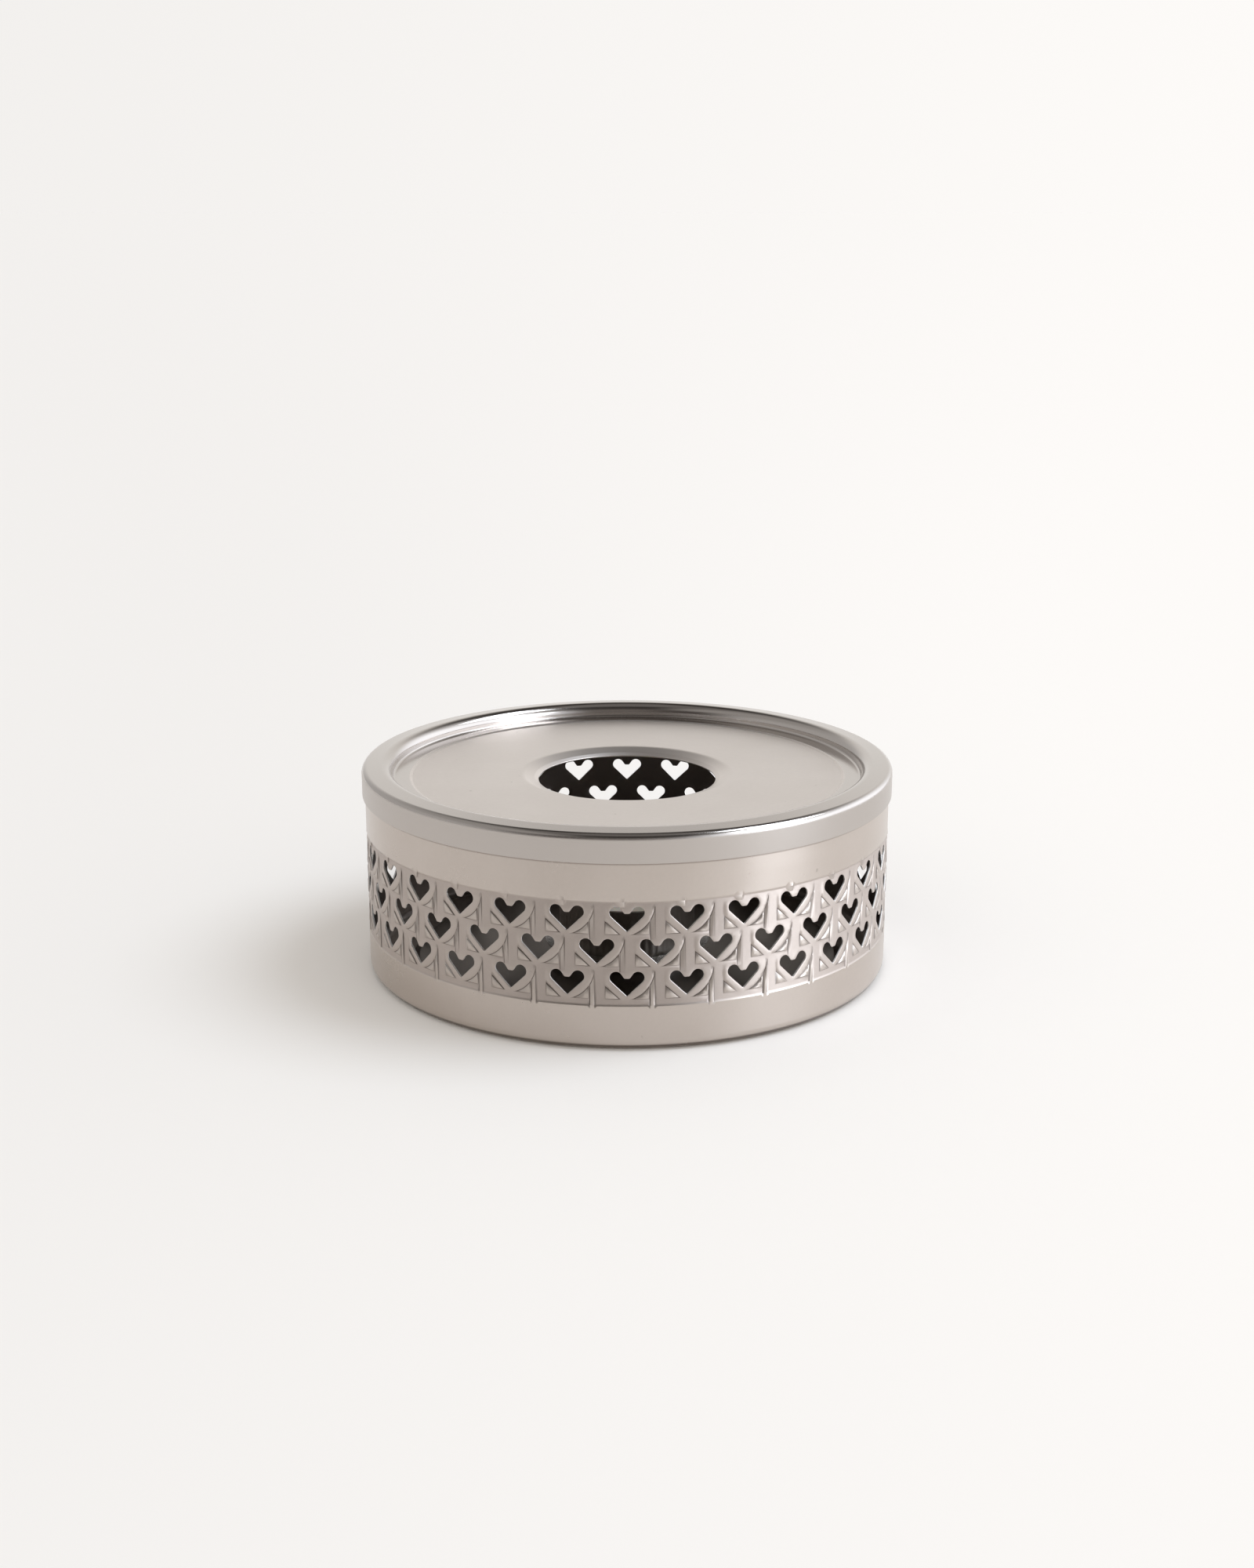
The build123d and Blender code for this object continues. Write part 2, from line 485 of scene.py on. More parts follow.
def clear_of(points, taken, gap):
    """The points that lie further than a gap from all those taken."""
    points, taken = np.array(points), np.array(taken)
    nearest = np.full(len(points), 9e9)
    for start in range(0, len(taken), 200):
        apart = points[:, None, :] - taken[None, start:start + 200, :]
        nearest = np.minimum(nearest, (apart ** 2).sum(2).min(1))
    return points[nearest > gap ** 2]


def in_any_heart(x, z, hearts):
    """Which points lie inside a heart outline (even-odd rule)."""
    result = np.zeros(x.shape, bool)
    for outline in hearts:
        inside = np.zeros(x.shape, bool)
        for (x0, z0), (x1, z1) in zip(outline, outline[1:] + outline[:1]):
            if z0 == z1:
                continue
            crosses = (z0 > z) != (z1 > z)
            inside ^= crosses & (x < (x1 - x0) * (z - z0) / (z1 - z0) + x0)
        result |= inside
    return result


def tile_points(detailed, hearts, lines, levels):
    """Points along the tile's ends, along its sides, and spread over the rest of it."""
    half = PITCH / 2
    across = 2 * ACROSS if detailed else ACROSS
    rise = 36 if detailed else 16
    rows = [TILE[0] + (TILE[1] - TILE[0]) * k / rise for k in range(1, rise)]
    rows = [z for z in rows if all(abs(z - level) > 0.25 for level in levels)] + levels
    ends = [(-half + PITCH * k / ACROSS, z) for k in range(ACROSS + 1) for z in TILE]
    sides = [(x, z) for x in (-half, half) for z in rows]
    sides = [p for p in sides if clear_of([p], [q for h in hearts for q in h], 0.3).size]
    dense = [p for line in hearts + lines for p in filled(line, 0.25)]
    grid = [(-half + PITCH * k / across, z) for k in range(1, across) for z in rows]
    return ends, sides, clear_of(grid, dense, 0.3 if detailed else 0.4)


def tile_edges(hearts, lines, levels, ends, sides):
    """The runs of edges that the triangles must follow, as points and pairs of points."""
    half = PITCH / 2
    points, edges = [], []

    def add(line, loop):
        start = len(points)
        points.extend(Vector(p) for p in line)
        count = len(line)
        sides_of_line = range(count if loop else count - 1)
        edges.extend((start + i, start + (i + 1) % count) for i in sides_of_line)

    for outline in hearts:
        add(outline, True)
    for line in lines:
        # a ribbon's upright edge stays open, and so does a stub on its left
        add(line, len(line) != 4 or abs(line[0][0] - line[-1][0]) > 1e-6)
    for x in (-half, half):
        add(sorted([p for p in sides + ends if p[0] == x], key=lambda p: p[1]), False)
    for z in TILE:
        add(sorted(p for p in ends if p[1] == z), False)
    for z in levels:
        add([(-half, z), (half, z)], False)
    return points, edges


def tile(detailed, grow):
    """Triangulated tile of the unrolled wall, as (x, z) points and triangles."""
    hearts, lines = tile_outlines(detailed, grow)
    levels = [BAND[0], BAND[0] + BEVEL, BAND[1], BAND[1] - BEVEL] if detailed else []
    ends, sides, grid = tile_points(detailed, hearts, lines, levels)
    points, edges = tile_edges(hearts, lines, levels, ends, sides)
    points.extend(Vector(p) for p in grid)
    found, _, triangles, *_ = geometry.delaunay_2d_cdt(points, edges, [], 0, 1e-5, True)
    places = np.array([tuple(p) for p in found])
    triangles = np.array([tuple(t) for t in triangles])
    middle = places[triangles].mean(1)
    keep = (abs(middle[:, 0]) < PITCH / 2) & (middle[:, 1] > TILE[0]) & (middle[:, 1] < TILE[1])
    keep &= ~in_any_heart(middle[:, 0], middle[:, 1], hearts)
    return places, triangles[keep]


def wrapped_tiles(places, triangles, radius, flip):
    """A tile for each heart of a row, laid round the drum at the given radii."""
    verts, faces = [], []
    base = places[:, 0] / DRUM_R
    order = triangles[:, ::-1] if flip else triangles
    for k in range(HEARTS):
        angle = base + 2 * math.pi * k / HEARTS
        verts.append(np.stack([radius * np.sin(angle), -radius * np.cos(angle), places[:, 1]], 1))
        faces.append(order + k * len(places))
    used = np.unique(np.concatenate(faces))
    verts, faces = np.concatenate(verts), np.concatenate(faces)
    renumber = np.zeros(len(verts), int)
    renumber[used] = np.arange(len(used))
    return verts[used].tolist(), [tuple(f) for f in renumber[faces].tolist()]


def heart_walls():
    """The cut edges of all the hearts: outer lip, cut face and inner lip."""
    parts = []
    for row, tip in enumerate(ROW_TIPS):
        rings = []
        for grow, sink in EDGE_STEPS:
            outline = np.array(heart_outline(grow))
            shift = PITCH / 2 if row % 2 else 0
            surface = np.array(heart_outline(EDGE_STEPS[0][0]))
            height = relief(surface[:, 0] + shift, surface[:, 1] + tip)
            radius = np.full(len(outline), BORE_R) if sink is None else DRUM_R + height + sink
            rings.append((outline[:, 0] + shift, outline[:, 1] + tip, radius))
        count = len(HEART)
        for k in range(HEARTS):
            verts, faces = [], []
            for x, z, radius in rings:
                angle = x / DRUM_R + 2 * math.pi * k / HEARTS
                verts += np.stack([radius * np.sin(angle), -radius * np.cos(angle), z], 1).tolist()
            for ring in range(len(rings) - 1):
                a, b = ring * count, (ring + 1) * count
                for i in range(count):
                    j = (i + 1) % count
                    faces.append((a + i, a + j, b + j, b + i))
            parts.append((verts, faces))
    return collect(parts)


def drum_floor_path():
    """From the foot of the tiles, round under the floor and up inside to the tiles again."""
    under = [(DRUM_R, TILE[0]), (DRUM_R, 0), (STAND_IN_R, 0), (PANEL_R, PANEL_RISE), (0, PANEL_RISE)]
    over = shifted(under, -SHEET)[::-1]
    loop = under + over
    arcs = {1: DRUM_CORNER, 2: 0.6, 3: 1.1, 6: 0.6, 7: 1.1, 8: DRUM_CORNER - SHEET}
    path = rounded(loop, arcs)
    return filled(path, 2.0, closed=False)


def drum_mouth_path():
    """From the top of the tiles, up the wall, over the turned-in mouth and back down inside."""
    outer = [(DRUM_R, TILE[1]), (DRUM_R, DRUM_TOP), (MOUTH_R - 0.4, DRUM_TOP)]
    inner = [(MOUTH_R - 0.4, DRUM_TOP - SHEET), (BORE_R, DRUM_TOP - SHEET), (BORE_R, TILE[1])]
    path = rounded(outer + inner, {1: MOUTH_CORNER, 2: 0.15, 3: 0.15, 4: MOUTH_CORNER - SHEET})
    return filled(path, 2.0, closed=False)


def drum():
    places, triangles = tile(True, EDGE_STEPS[0][0])
    height = relief(places[:, 0], places[:, 1])
    outer = wrapped_tiles(places, triangles, DRUM_R + height, False)
    inside, inner_triangles = tile(False, EDGE_STEPS[-1][0])
    inner = wrapped_tiles(inside, inner_triangles, np.full(len(inside), BORE_R), True)
    rings = HEARTS * ACROSS
    plain = [turned(path, rings, False) for path in (drum_floor_path(), drum_mouth_path())]
    piece = mesh_piece("drum_shell_pressed", *collect([outer, inner, heart_walls(), *plain]))
    paint_relief(piece)
    return piece


def paint_relief(piece):
    """Stores what the steel's texture needs: polished height, cut edge (for a painted highlight),
    groove and bore (both for painted shade).
    """
    mesh = piece.data
    count = len(mesh.vertices)
    where = np.zeros(count * 3)
    mesh.vertices.foreach_get("co", where)
    x, y, z = where.reshape(-1, 3).T / MM
    radius = np.hypot(x, y)
    angle = np.arctan2(x, -y)
    across = (angle * DRUM_R + PITCH / 2) % PITCH - PITCH / 2
    height = relief(across, z)
    band = (z > BAND[0] - 0.02) & (z < BAND[1] + 0.02) & (radius > BORE_R + 0.01)
    cut = band & (radius < DRUM_R + height - 0.045)
    polish = np.where(band, np.clip((height - FIELD) / (PAD - FIELD), 0, 1), 1.0)
    groove = np.where(band, np.clip((FIELD - height) / 0.12, 0, 1), 0.0)
    # the bore's mask: the inside of the drum is painted dark, painted shade
    inner = (radius <= BORE_R + 0.01) & (z > PANEL_RISE - 0.5)
    painted = np.stack([polish, cut, groove, inner], 1).astype(np.float32)
    layer = mesh.attributes.new("relief", "FLOAT_COLOR", "POINT")
    layer.data.foreach_set("color", painted.ravel())


# ---- the other pieces -----------------------------------------------------------------------
def lid():
    path = [
        (LID_R, SKIRT_LOW),
        (LID_R, SHOULDER_Z),
        (RIM_IN_R, RIM_IN_Z),
        (RECESS_R, LEDGE_Z),
        (LEDGE_R, LEDGE_Z),
        (DISC_R, DISC_Z),
        (DISH_R, DISC_Z),
        (HOLE_R + 1.2, HOLE_Z + 0.7),
        (HOLE_R, HOLE_Z),
    ]
    radii = {1: SHOULDER_R - SHEET, 2: RIM_ROLL - SHEET, 3: 0.7, 4: 0.5, 5: 0.5, 6: 4.0, 7: 1.2}
    return spun("lid_pressed", filled(sheet_loop(path, radii, SHEET, steps=14), 2.0), 420)


def candle_holder():
    high = edge("candle_holder", True, 2)
    flange = [(HOLDER_R, high - 0.3), (HOLDER_FLANGE_R, high - 0.8)]
    path = [(0, HOLDER_LOW), (HOLDER_R, HOLDER_LOW)] + flange
    loop = sheet_loop(path, {1: 0.5, 2: 0.5}, HOLDER_SHEET)
    return spun("candle_holder_dish", filled(loop, 2.0), 160)


def fluted(verts, low, high, count, depth):
    """Fine upright flutes, as in a tealight cup's drawn wall."""
    result = []
    for x, y, z in verts:
        radius = math.hypot(x, y)
        share = max(0.0, min(1.0, (z - low) / 3, (high - z) / 3))
        if radius > CUP_R - 0.8 and share > 0:
            angle = math.atan2(x, -y)
            scale = 1 - depth * share * (0.5 + 0.5 * math.cos(count * angle)) / radius
            x, y = x * scale, y * scale
        result.append((x, y, z))
    return result


def tealight_cup():
    path = [(0, CUP_LOW), (CUP_R, CUP_LOW), (CUP_R, CUP_TOP - 0.1), (CUP_LIP_R, CUP_TOP - 0.25)]
    loop = filled(sheet_loop(path, {1: 0.7, 2: 0.15}, CUP_SHEET), 1.5)
    verts, faces = turned(loop, 360, True)
    return mesh_piece("tealight_cup_drawn", fluted(verts, CUP_LOW, CUP_TOP, 60, 0.1), faces)


def tealight_wax():
    """Wax cake with a shallow meniscus at the cup and a small dimple at the wick."""
    low = edge("tealight_wax", False, 2)
    outer = CUP_R - 0.45
    bore = WICK_R + 0.06
    path = [(bore, WAX_TOP + 0.12)]
    for k in range(1, 40):
        r = bore + (outer - WICK_R - 0.1) * k / 40
        dimple = -0.35 * math.exp(-((r - 3.2) / 2.0) ** 2)
        rise = 0.35 * math.exp(-(outer - r) / 0.6)
        path.append((r, WAX_TOP - 0.35 + dimple + rise))
    path += [(outer, WAX_TOP), (outer, low + 0.8), (outer - 0.8, low), (bore, low + 3.4)]
    return spun("tealight_wax_cake", filled(path, 1.5), 120)


def wick_strand(phase):
    """Points and faces of one strand, twisted round the axis and thinner at its tip."""
    turns, rings, around = 6.0, 120, 10
    strand_r = 0.36
    twist_r = 0.33
    verts, faces = [], []
    for ring in range(rings + 1):
        share = ring / rings
        angle = 2 * math.pi * (turns * share + phase)
        thin = strand_r * (1 - 0.5 * max(0.0, share - 0.93) / 0.07)
        cx, cy = twist_r * math.cos(angle), twist_r * math.sin(angle)
        z = WICK_LOW + (WICK_TOP - WICK_LOW) * share
        for k in range(around):
            a = 2 * math.pi * k / around
            verts.append((cx + thin * math.cos(a), cy + thin * math.sin(a), z))
    for ring in range(rings):
        here, there = ring * around, (ring + 1) * around
        for k in range(around):
            j = (k + 1) % around
            faces.append((here + k, here + j, there + j, there + k))
    faces.append(tuple(range(around - 1, -1, -1)))
    faces.append(tuple(range(rings * around, (rings + 1) * around)))
    return verts, faces


def wick():
    """Braided cotton: three strands twisted round each other."""
    strands = [wick_strand(k / 3) for k in range(3)]
    return mesh_piece("wick_braid", *collect(strands), 0.0005)


def wick_sustainer():
    """Tinned foot: a disc with a crimped neck."""
    bore = WICK_R + 0.05
    top = edge("wick_sustainer", True, 2)
    over = FOOT_LOW + FOOT_SHEET
    foot = [(bore, FOOT_LOW), (FOOT_R, FOOT_LOW), (FOOT_R, over)]
    path = foot + [(NECK_R, over), (NECK_R, top), (bore, top)]
    loop = rounded(path, {1: 0.12, 2: 0.12, 3: 0.4, 4: 0.15, 5: 0.1})
    return spun("wick_sustainer_foot", filled(loop, 1.0), 72)


# ---- materials (tones in pairs are a pale and a deep one) -----------------------------------
WALL_TONES = (colour(0.58, 0.52, 0.475), colour(0.55, 0.49, 0.445))
LID_TONES = (colour(0.795, 0.735, 0.69), colour(0.75, 0.69, 0.645))
HOLDER_TONES = (colour(0.62, 0.60, 0.58), colour(0.52, 0.50, 0.48))
FOOT_TONES = (colour(0.66, 0.66, 0.66), colour(0.58, 0.58, 0.58))
# painted shade: the lid outside its disc is painted darker, at this share of its tones
RIM_SHADE = 0.65                # of the lid's tones, outside its disc
FIELD_PALE = colour(0.55, 0.485, 0.445)
FIELD_DEEP = colour(0.48, 0.42, 0.385)
# painted shade: the relief's grooves, darker than the steel
GROOVE_SHADE = colour(0.075, 0.055, 0.045)
# painted highlight on the hearts' cut edges
CUT_EDGE_HIGHLIGHT = colour(0.93, 0.90, 0.87)
# painted shade: the dark line on the wall just under the lid's skirt
UNDER_LID_SHADE = colour(0.16, 0.12, 0.10)
# dark specks of dirt, and painted shade for the inside of the drum
SPECK_AND_BORE_SHADE = colour(0.20, 0.17, 0.15)


class Nodes:
    """Short calls for building the nodes of a material or a world, its owner."""

    def __init__(self, owner):
        owner.use_nodes = True
        self.owner = owner
        self.tree = owner.node_tree

    def add(self, kind, settings=None, **inputs):
        node = self.tree.nodes.new("ShaderNode" + kind)
        for key, value in (settings or {}).items():
            setattr(node, key, value)
        for key, value in inputs.items():
            self.set(node, key.replace("_", " "), value)
        return node

    def set(self, node, key, value):
        socket = node.inputs[int(key)] if key.isdigit() else node.inputs[key]
        if isinstance(value, bpy.types.NodeSocket):
            self.tree.links.new(value, socket)
        else:
            socket.default_value = value

    def math(self, operation, a, b=0.0, clamp=False):
        node = self.add("Math", {"operation": operation, "use_clamp": clamp})
        self.set(node, "0", a)
        self.set(node, "1", b)
        return node.outputs[0]

    def noise(self, vector, scale, detail=3.0, roughness=0.55):
        sizes = {"Scale": scale, "Detail": detail, "Roughness": roughness}
        return self.add("TexNoise", None, Vector=vector, **sizes).outputs["Fac"]

    def ramp(self, value, low, high):
        """0 below low, 1 above high, eased between; a low above high turns it round."""
        node = self.add("MapRange", {"interpolation_type": "SMOOTHSTEP"}, Value=value)
        limits = {"From Min": low, "From Max": high}
        for key, number in limits.items():
            node.inputs[key].default_value = number
        return node.outputs["Result"]

    def mix(self, share, a, b):
        node = self.add("Mix", {"data_type": "RGBA"})
        self.set(node, "0", share)
        self.set(node, "6", a)
        self.set(node, "7", b)
        return node.outputs[2]

    def bump(self, height, distance, strength=1.0, normal=None):
        node = self.add("Bump", None, Height=height, Distance=distance, Strength=strength)
        if normal is not None:
            self.set(node, "Normal", normal)
        return node.outputs["Normal"]

    def length(self, **parts):
        """Length of the vector with the given X, Y and Z."""
        flat = self.add("CombineXYZ", None, **parts)
        node = self.add("VectorMath", {"operation": "LENGTH"})
        self.set(node, "0", flat.outputs[0])
        return node.outputs["Value"]

    def finish(self, **inputs):
        shader = self.tree.nodes["Principled BSDF"]
        for key, value in inputs.items():
            self.set(shader, key.replace("_", " "), value)
        return self.owner


def new_material(name):
    return Nodes(bpy.data.materials.new(name))


def around_the_axis(nodes):
    """A point of the object, its distance from the upright axis and its height, in metres."""
    place = nodes.add("TexCoord").outputs["Object"]
    split = nodes.add("SeparateXYZ", None, Vector=place)
    x, y, z = split.outputs
    return place, nodes.length(X=x, Y=y), z


def streaks(nodes, place, radius, z, fine):
    """Faint rings left by drawing and turning: noise that only changes across them."""
    slow = nodes.add("Mapping", {"vector_type": "POINT"})
    nodes.set(slow, "Vector", place)
    slow.inputs["Scale"].default_value = (14.0, 14.0, 14.0)
    wander = nodes.noise(slow.outputs[0], 1.0, 1.0)
    across = nodes.math("ADD", radius, z)
    across = nodes.math("MULTIPLY", across, fine)
    ring = nodes.add("CombineXYZ", None, X=across, Y=wander)
    return nodes.noise(ring.outputs[0], 1.0, 4.0, 0.7)


def polished_rim(nodes, tone, roughness, radius, shaded, rim):
    """The lid outside its disc: its tones painted darker, painted shade, and the raised rim smoother
    by rim than the rest.
    """
    outer = nodes.ramp(radius, (LEDGE_R - 0.4) * MM, (LEDGE_R + 0.2) * MM)
    skirt = nodes.ramp(radius, (LID_R - 0.3) * MM, LID_R * MM)
    polished = nodes.math("SUBTRACT", outer, skirt)
    roughness = nodes.math("SUBTRACT", roughness, nodes.math("MULTIPLY", polished, rim))
    roughness = nodes.math("SUBTRACT", roughness, nodes.math("MULTIPLY", skirt, 0.05))
    return nodes.mix(outer, tone, shaded), roughness


def pressed_wall(nodes, tone, roughness, fine, z):
    """The drum: matt field, grooves darkened with painted shade, cut edges with a painted highlight,
    the bore darkened with painted shade, and painted shade on the wall under the lid.
    """
    mask = nodes.add("Attribute", {"attribute_name": "relief"})
    parts = nodes.add("SeparateColor", None, Color=mask.outputs["Color"])
    polish, cut, groove = parts.outputs
    matt = nodes.math("SUBTRACT", 1.0, polish)
    tone = nodes.mix(nodes.math("MULTIPLY", matt, 0.9), tone, nodes.mix(fine, FIELD_DEEP, FIELD_PALE))
    # painted shade in the relief's grooves
    tone = nodes.mix(nodes.math("MULTIPLY", groove, 0.85), tone, GROOVE_SHADE)
    # painted highlight: the hearts' cut edges painted bright
    tone = nodes.mix(cut, tone, CUT_EDGE_HIGHLIGHT)
    # painted shade: the bore, inside the drum, painted dark
    tone = nodes.mix(mask.outputs["Alpha"], tone, SPECK_AND_BORE_SHADE)
    # painted shade: the wall is darkened just under the lid's skirt
    under_lid_shade = nodes.ramp(z, (SKIRT_LOW - 0.75) * MM, (SKIRT_LOW - 0.25) * MM)
    tone = nodes.mix(nodes.math("MULTIPLY", under_lid_shade, 0.55), tone, UNDER_LID_SHADE)
    over, under = (nodes.ramp(z, (level - 0.1) * MM, (level + 0.1) * MM) for level in BAND)
    pressed = nodes.math("SUBTRACT", over, under)
    for part, rougher in ((pressed, 0.15), (matt, 0.06), (cut, 0.2)):
        roughness = nodes.math("ADD", roughness, nodes.math("MULTIPLY", part, rougher))
    return tone, roughness


def satin_steel(name, tones, rough, drum_wall=False, rim=None, drawn=0.0, wavy=0.35):
    """Satin stainless: fine even grain, soft blotches, faint rings and a few specks.

    tones are its pale and its deep one, drawn is its anisotropy, and wavy how uneven the sheet is.
    """
    pale, deep = tones
    nodes = new_material(name)
    along = nodes.add("Tangent", {"direction_type": "RADIAL", "axis": "Z"}).outputs["Tangent"]
    place, radius, z = around_the_axis(nodes)
    grain = nodes.noise(place, 5200.0, 2.0, 0.6)
    fine = nodes.noise(place, 1100.0, 3.0, 0.6)
    blotch = nodes.noise(place, 45.0, 2.0, 0.5)
    cloud = nodes.noise(place, 14.0, 2.0, 0.5)
    rings = streaks(nodes, place, radius, z, 900.0)
    share = nodes.math("ADD", nodes.math("MULTIPLY", blotch, 0.5), nodes.math("MULTIPLY", cloud, 0.5))
    tone = nodes.mix(nodes.ramp(share, 0.38, 0.62), deep, pale)
    tone = nodes.mix(nodes.math("MULTIPLY", fine, 0.15), tone, scaled(deep, 0.7))
    speck = nodes.ramp(nodes.noise(place, 420.0, 1.0), 0.78, 0.83)
    tone = nodes.mix(nodes.math("MULTIPLY", speck, 0.3), tone, SPECK_AND_BORE_SHADE)
    uneven = nodes.math("MULTIPLY", rings, 0.04)
    uneven = nodes.math("ADD", uneven, nodes.math("MULTIPLY", blotch, 0.05))
    uneven = nodes.math("ADD", uneven, nodes.math("MULTIPLY", fine, 0.05))
    roughness = nodes.math("ADD", uneven, rough - 0.07)
    if rim:
        # painted shade: a darker copy of the lid's tones for the rim and skirt
        shaded = nodes.mix(share, scaled(deep, RIM_SHADE), scaled(pale, RIM_SHADE))
        tone, roughness = polished_rim(nodes, tone, roughness, radius, shaded, rim)
    if drum_wall:
        tone, roughness = pressed_wall(nodes, tone, roughness, fine, z)
    normal = nodes.bump(grain, 0.000010, 0.25)
    normal = nodes.bump(rings, 0.00003, wavy * 0.23, normal)
    normal = nodes.bump(waviness(nodes, place), 0.00010, wavy, normal)
    return nodes.finish(
        Base_Color=tone, Metallic=1.0, Roughness=roughness, Normal=normal, Tangent=along,
        Anisotropic=drawn, Anisotropic_Rotation=0.25)


def waviness(nodes, place):
    """Slow unevenness of the pressed sheet, longer round the object than across it."""
    stretch = nodes.add("Mapping", None, Vector=place)
    stretch.inputs["Scale"].default_value = (22.0, 22.0, 120.0)
    return nodes.noise(stretch.outputs[0], 1.0, 2.0, 0.45)


def bright_aluminium():
    nodes = new_material("bright_aluminium")
    place, radius, z = around_the_axis(nodes)
    blotch = nodes.noise(place, 120.0, 4.0)
    rings = streaks(nodes, place, radius, z, 1500.0)
    tone = nodes.mix(blotch, colour(0.52, 0.475, 0.43), colour(0.64, 0.595, 0.55))
    roughness = nodes.math("ADD", nodes.math("MULTIPLY", rings, 0.12), 0.26)
    normal = nodes.bump(rings, 0.00004, 0.4)
    return nodes.finish(Base_Color=tone, Metallic=1.0, Roughness=roughness, Normal=normal)


def paraffin():
    nodes = new_material("paraffin_wax")
    place = nodes.add("TexCoord").outputs["Object"]
    cloud = nodes.noise(place, 160.0, 4.0)
    crystals = nodes.add("TexVoronoi", None, Vector=place, Scale=900.0).outputs["Distance"]
    # painted shade: the wax's tones are darker than white paraffin, as it sits in shade inside the
    # drum
    tone = nodes.mix(cloud, colour(0.66, 0.61, 0.53), colour(0.78, 0.74, 0.67))
    roughness = nodes.math("ADD", nodes.math("MULTIPLY", cloud, 0.2), 0.38)
    height = nodes.math("ADD", cloud, nodes.math("MULTIPLY", crystals, 0.4))
    normal = nodes.bump(height, 0.00015, 0.5)
    return nodes.finish(
        Base_Color=tone, Roughness=roughness, Normal=normal, Subsurface_Weight=0.35,
        Subsurface_Scale=0.004)


def cotton():
    nodes = new_material("waxed_cotton")
    place = nodes.add("TexCoord").outputs["Object"]
    fibre = nodes.add("Mapping", None, Vector=place)
    fibre.inputs["Scale"].default_value = (1.0, 1.0, 0.2)
    fuzz = nodes.noise(fibre.outputs[0], 6000.0, 3.0)
    tone = nodes.mix(fuzz, colour(0.62, 0.58, 0.49), colour(0.86, 0.83, 0.76))
    normal = nodes.bump(fuzz, 0.00008, 0.7)
    return nodes.finish(Base_Color=tone, Roughness=0.8, Normal=normal, Sheen_Weight=0.2)


def pale_floor():
    """Matt paper with painted light: a little brighter to the right, towards the key light."""
    nodes = new_material("pale_floor")
    place = nodes.add("TexCoord").outputs["Object"]
    split = nodes.add("SeparateXYZ", None, Vector=place)
    x, y, _ = split.outputs
    side = nodes.math("DIVIDE", x, nodes.length(X=x, Y=y, Z=0.5))
    left, right = scaled(PAPER, PAPER_SHADED_LEFT), scaled(PAPER, PAPER_LIT_RIGHT)
    # painted light across the floor, from left to right
    tone = nodes.mix(nodes.ramp(side, -SIDE, SIDE), left, right)
    return nodes.finish(Base_Color=tone, Roughness=1.0, Specular_IOR_Level=0.0)


# ---- stage ----------------------------------------------------------------------------------
def studio_floor():
    """Wide flat floor that runs out of sight."""
    mesh = bpy.data.meshes.new("studio_floor")
    far = FLOOR_REACH
    corners = [(-far, -far, 0), (far, -far, 0), (far, far, 0), (-far, far, 0)]
    mesh.from_pydata(corners, [], [(0, 1, 2, 3)])
    mesh.materials.append(pale_floor())
    piece = bpy.data.objects.new("studio_floor", mesh)
    bpy.context.collection.objects.link(piece)


def place_light(name, kind, place, target):
    lamp = bpy.data.lights.new(name, kind)
    item = bpy.data.objects.new(name, lamp)
    item.location = place
    item.rotation_euler = (Vector(target) - Vector(place)).to_track_quat("-Z", "Y").to_euler()
    bpy.context.collection.objects.link(item)
    return lamp, item


def key_sun():
    """Broad, soft key from the right: it makes the shadow and lights the floor evenly."""
    lamp, item = place_light("key_sun", "SUN", KEY_PLACE, KEY_TARGET)
    lamp.energy = SUN
    lamp.angle = math.radians(SUN_WIDTH)
    lamp.color = SUN_TONE
    item.visible_glossy = False


def softbox(name, place, size, power, target=(0, 0, 0.05)):
    """Lamp seen only as a reflection in the metal."""
    lamp, item = place_light(name, "AREA", place, target)
    lamp.shape = "RECTANGLE"
    lamp.size, lamp.size_y = size
    lamp.energy = power
    lamp.color = SUN_TONE
    item.visible_diffuse = False


def studio_in_metal(nodes, x, y, z):
    """What reflections see: a dim ceiling, a dim front, a pale back and a bright right side."""
    front = nodes.mix(nodes.ramp(x, -0.45, -0.05), LEFT_DARK, FRONT_DIM)
    behind = nodes.mix(nodes.ramp(x, -0.1, -0.6), BACK_PALE, LEFT_GREY)
    level = nodes.mix(nodes.ramp(y, -0.7, 0.3), front, behind)
    level = nodes.mix(nodes.ramp(x, 0.3, 0.85), level, RIGHT_BRIGHT)
    level = nodes.mix(nodes.ramp(x, -0.55, -0.95), level, LEFT_GREY)
    ceiling = nodes.mix(nodes.ramp(x, -0.15, -0.55), CEILING, LEFT_CEILING)
    ceiling = nodes.mix(nodes.ramp(x, 0.30, 0.65), ceiling, RIGHT_CEILING)
    seen = nodes.mix(nodes.ramp(z, 0.36, 0.75), level, ceiling)
    return nodes.mix(nodes.ramp(z, 0.88, 0.97), seen, OVERHEAD)


def lit_paper(share):
    """The tone of the lit floor far away, where its colour is this share of the paper's."""
    key = [SUN * channel * KEY_SINE / math.pi for channel in SUN_TONE]
    return colour(*(PAPER[i] * share * (ROOM[i] + key[i]) for i in range(3)))


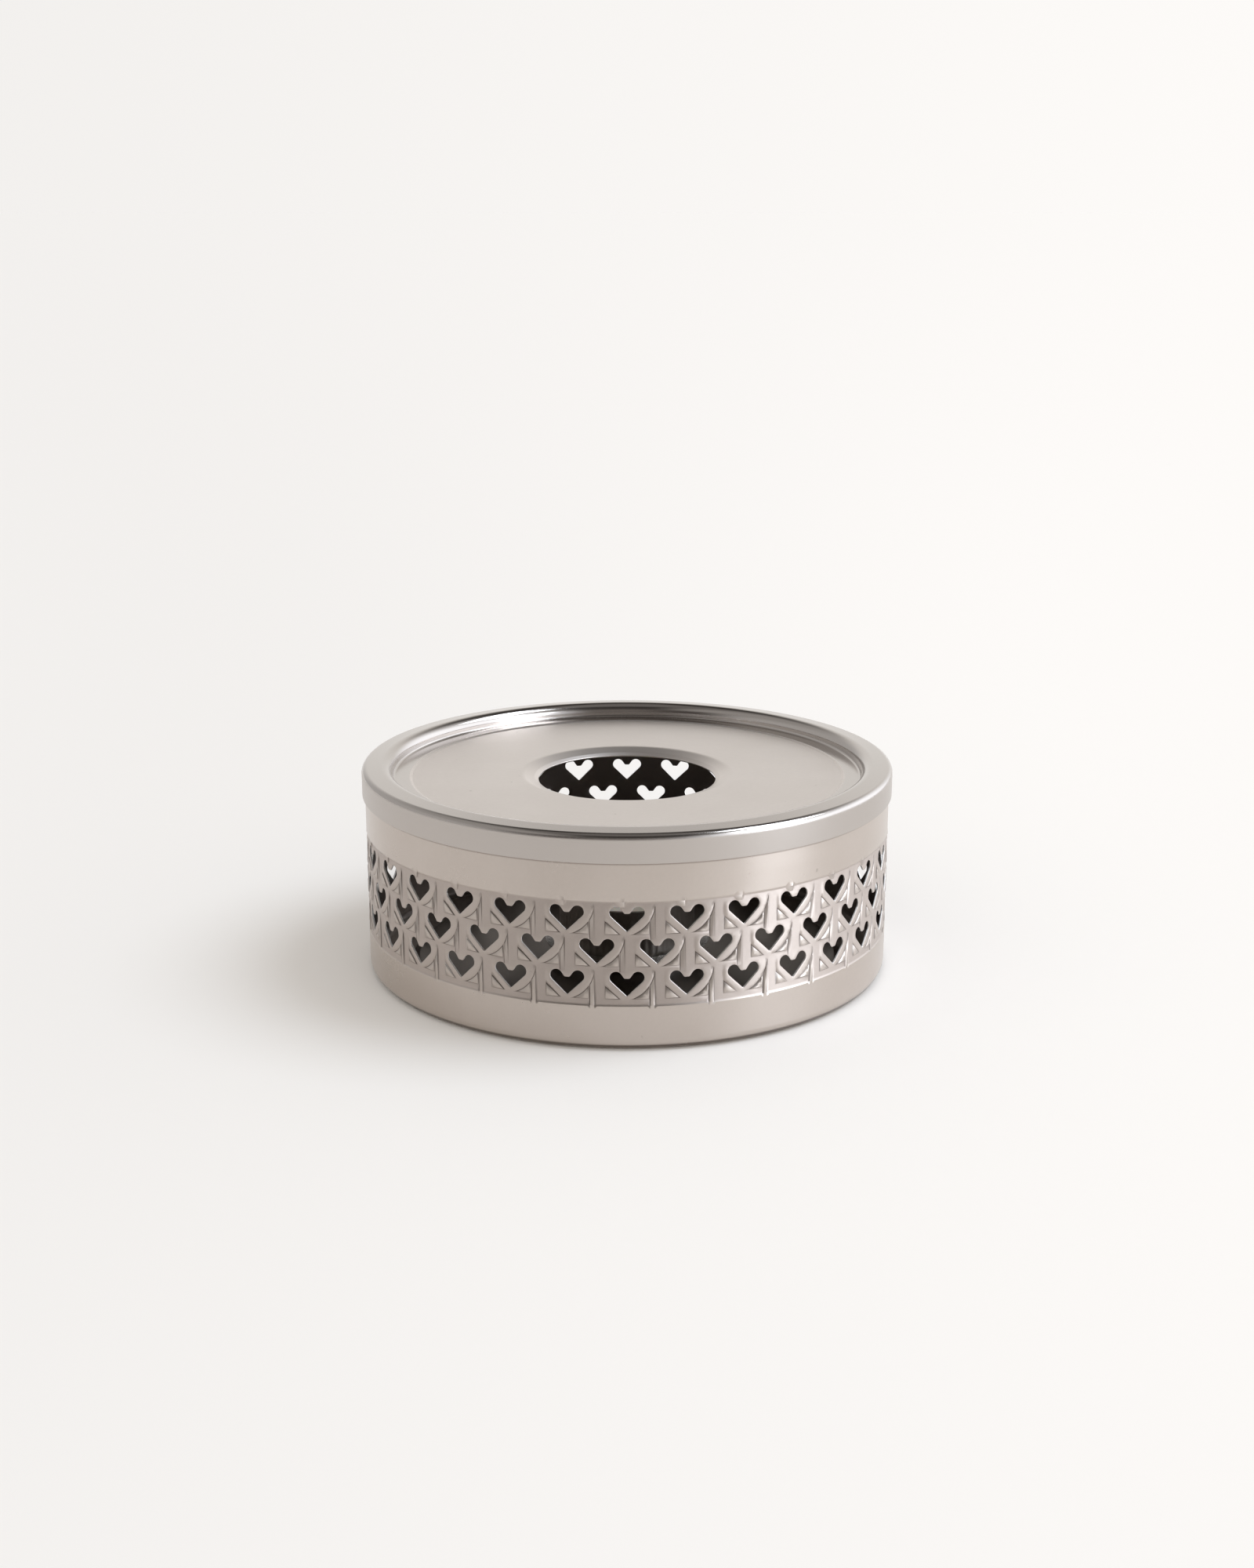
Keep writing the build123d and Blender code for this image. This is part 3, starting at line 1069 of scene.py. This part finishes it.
def world():
    """Even light for the room, a backdrop like the floor for the camera, a studio for reflections."""
    nodes = Nodes(bpy.data.worlds.new("studio"))
    split = nodes.add("SeparateXYZ", None, Vector=nodes.add("TexCoord").outputs["Generated"])
    x, y, z = split.outputs
    beyond = nodes.mix(nodes.ramp(x, -SIDE, SIDE), lit_paper(PAPER_SHADED_LEFT), lit_paper(PAPER_LIT_RIGHT))
    before, behind = scaled(ROOM, 1 + FROM_FRONT), scaled(ROOM, 1 - FROM_FRONT)
    room = nodes.mix(nodes.ramp(y, -1.0, 1.0), before, behind)
    rays = nodes.add("LightPath")
    even = nodes.mix(rays.outputs["Is Camera Ray"], room, beyond)
    out = nodes.mix(rays.outputs["Is Glossy Ray"], even, studio_in_metal(nodes, x, y, z))
    nodes.set(nodes.tree.nodes["Background"], "Color", out)
    bpy.context.scene.world = nodes.owner


def camera():
    """At the photographed viewing angle: about 15 degrees above the level."""
    lens = bpy.data.cameras.new("camera")
    lens.lens = LENS
    lens.clip_start = 0.01
    eye = bpy.data.objects.new("camera", lens)
    eye.location = EYE
    eye.rotation_euler = (math.radians(90 - EYE_DOWN), 0.0, 0.0)
    bpy.context.collection.objects.link(eye)
    bpy.context.scene.camera = eye


def dress(piece, material, body, node):
    piece.data.materials.append(material)
    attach(piece, body)
    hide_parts(node)


camera()
world()
studio_floor()
key_sun()
softbox("softbox", KEY_PLACE, SOFTBOX_SIZE, SOFTBOX_POWER)
softbox("side_card", CARD_PLACE, CARD_SIZE, CARD_POWER, CARD_TARGET)

wall_steel = satin_steel("satin_steel_wall", WALL_TONES, 0.29, drum_wall=True, drawn=0.7)
lid_steel = satin_steel("satin_steel_lid", LID_TONES, 0.38, rim=0.23, wavy=0.1)
holder_steel = satin_steel("drawn_steel_holder", HOLDER_TONES, 0.24)
foot_steel = satin_steel("tinned_steel_foot", FOOT_TONES, 0.30)

dress(drum(), wall_steel, "drum", "drum_shell")
dress(lid(), lid_steel, "lid", "lid")
dress(candle_holder(), holder_steel, "drum", "candle_holder")
dress(tealight_cup(), bright_aluminium(), "tealight", "tealight_cup")
dress(tealight_wax(), paraffin(), "tealight", "tealight_wax")
dress(wick(), cotton(), "tealight", "wick")
dress(wick_sustainer(), foot_steel, "tealight", "wick_sustainer")

bpy.context.scene.view_settings.view_transform = "Standard"
